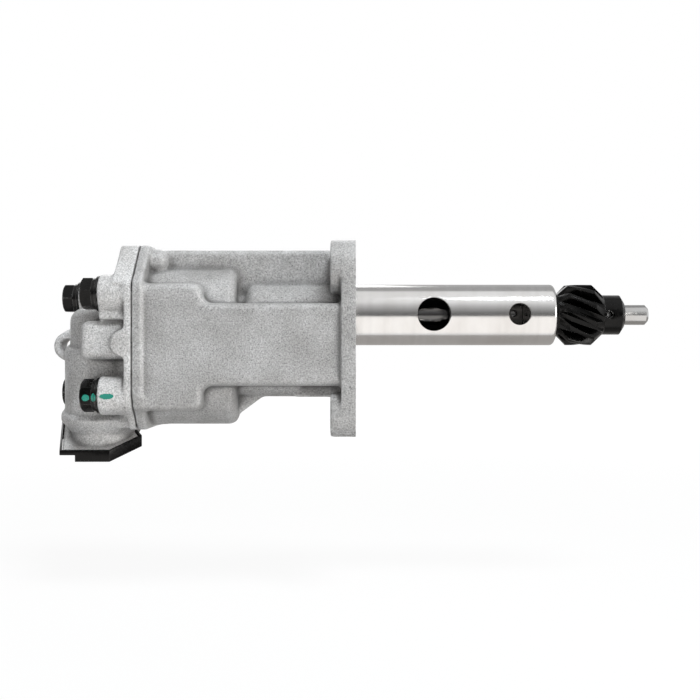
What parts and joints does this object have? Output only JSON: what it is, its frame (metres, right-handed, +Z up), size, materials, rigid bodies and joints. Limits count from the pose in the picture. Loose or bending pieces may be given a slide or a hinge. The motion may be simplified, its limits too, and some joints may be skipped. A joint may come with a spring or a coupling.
{
  "type": "engine oil pump",
  "caption": "Gear oil pump for an engine: cast body with long locating sleeve, helical drive pinion, bolted cover with suction strainer and relief valve.",
  "frame": {"origin": "on the drive shaft's axis, in the machined face of the mounting flange where the sleeve begins", "axes": "+X along the drive shaft towards the helical pinion, +Z up as in the picture, -Y towards the side with the delivery passage"},
  "size_m": [0.348, 0.078, 0.1243],
  "materials": {
    "cast_aluminium": "as cast, grit blasted",
    "bright_steel": "ground",
    "gear_steel": "hobbed and ground, oiled",
    "black_steel": "black oxide",
    "screw_steel": "black oxide",
    "washer_steel": "phosphated",
    "bush_metal": "grey bearing metal",
    "pressed_steel": "black phosphated sheet",
    "gauze_steel": "woven wire"
  },
  "bodies": {
    "casing": {"pump_body": "cast_aluminium", "locating_sleeve": "cast_aluminium", "pump_cover": "cast_aluminium", "driven_shaft": "bright_steel", "lower_bush": "bush_metal", "sleeve_bush": "bush_metal", "end_bush": "bush_metal", "relief_spring": "bright_steel", "front_screws": "screw_steel", "rear_screws": "screw_steel", "flat_washers": "washer_steel", "spring_washers": "washer_steel", "cover_dowels": "bright_steel", "strainer_frame": "pressed_steel", "strainer_gauze": "gauze_steel"},
    "drive": {"drive_shaft": "bright_steel", "drive_rotor": "gear_steel", "rotor_key": "gear_steel", "helical_pinion": "black_steel", "roll_pin": "black_steel"},
    "driven": {"driven_rotor": "gear_steel", "driven_bush": "bush_metal"},
    "plunger": {"relief_plunger": "bright_steel"}
  },
  "joints": [
    {"name": "drive_spin", "type": "hinge", "parent": "casing", "child": "drive", "pos_m": [0, 0, 0], "axis": [1, 0, 0], "continuous": true},
    {"name": "driven_spin", "type": "hinge", "parent": "casing", "child": "driven", "pos_m": [0, 0, -0.036], "axis": [1, 0, 0], "continuous": true},
    {"name": "relief_slide", "type": "slide", "parent": "casing", "child": "plunger", "axis": [-1, 0, 0], "range_m": [0, 0.006], "stiffness_N_per_m": 4000, "springref_m": -0.008, "deforming": ["relief_spring"]}
  ],
  "couplings": [
    {"joint": "driven_spin", "follows": "drive_spin", "ratio": -1}
  ]
}
